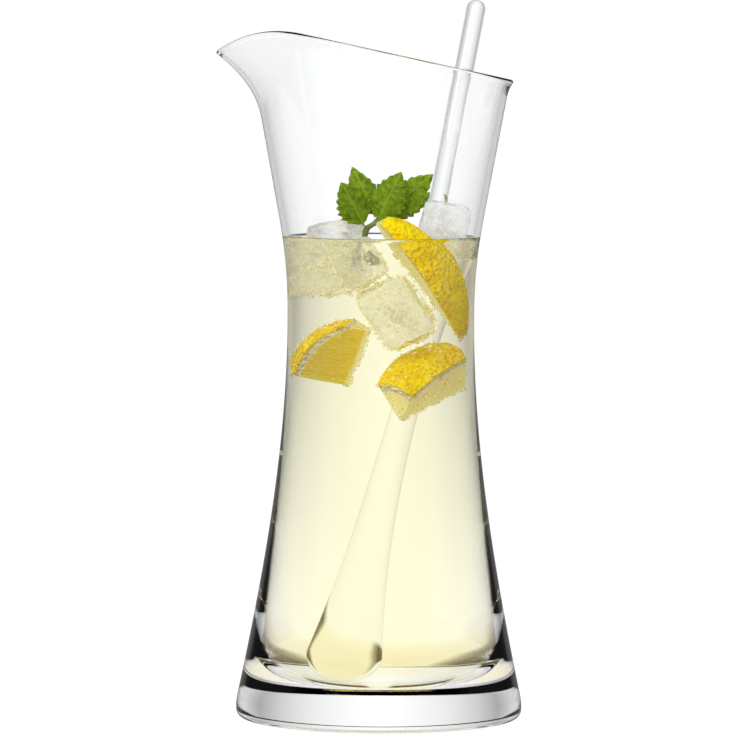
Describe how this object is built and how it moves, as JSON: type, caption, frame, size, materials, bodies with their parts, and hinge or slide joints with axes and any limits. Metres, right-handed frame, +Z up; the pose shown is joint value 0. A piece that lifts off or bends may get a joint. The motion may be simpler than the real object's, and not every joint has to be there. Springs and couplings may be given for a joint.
{
  "type": "cocktail pitcher",
  "caption": "Waisted clear glass cocktail pitcher with slanted rim, pulled spout, thick foot and leaning glass stirrer, filled with pale drink, ice, lemon wedges and mint.",
  "frame": {"origin": "centre of the flat foot, on the surface that the pitcher stands on", "axes": "+Z up along the pitcher's axis, the spout points to -X, +Y to the back as pictured"},
  "size_m": [0.1273, 0.118, 0.2967],
  "materials": {
    "pitcher_glass": "clear",
    "stirrer_glass": "clear",
    "drink": "clear liquid",
    "ice": "clear ice",
    "lemon_rind": "waxy peel",
    "lemon_flesh": "moist",
    "mint_stem": "matte",
    "mint_leaf": "matte"
  },
  "bodies": {
    "pitcher": {"pitcher": "pitcher_glass"},
    "contents": {"drink": "drink", "ice_left": "ice", "ice_right": "ice", "ice_front": "ice", "ice_middle": "ice", "lemon_top_rind": "lemon_rind", "lemon_top_flesh": "lemon_flesh", "lemon_left_rind": "lemon_rind", "lemon_left_flesh": "lemon_flesh", "lemon_right_rind": "lemon_rind", "lemon_right_flesh": "lemon_flesh", "mint_stem": "mint_stem", "mint_leaf_front": "mint_leaf", "mint_leaf_tall": "mint_leaf", "mint_leaf_middle": "mint_leaf", "mint_leaf_right": "mint_leaf", "mint_leaf_back": "mint_leaf", "mint_leaf_sunken": "mint_leaf"},
    "stirrer": {"stirrer": "stirrer_glass"}
  },
  "joints": [
    {"name": "swirl", "type": "hinge", "parent": "pitcher", "child": "contents", "pos_m": [0, 0, 0.1], "axis": [0, 0, 1], "continuous": true},
    {"name": "stirrer_stroke", "type": "slide", "parent": "contents", "child": "stirrer", "axis": [0.1832, 0.189, 0.9647], "range_m": [0, 0.08], "deforming": ["drink"]}
  ]
}
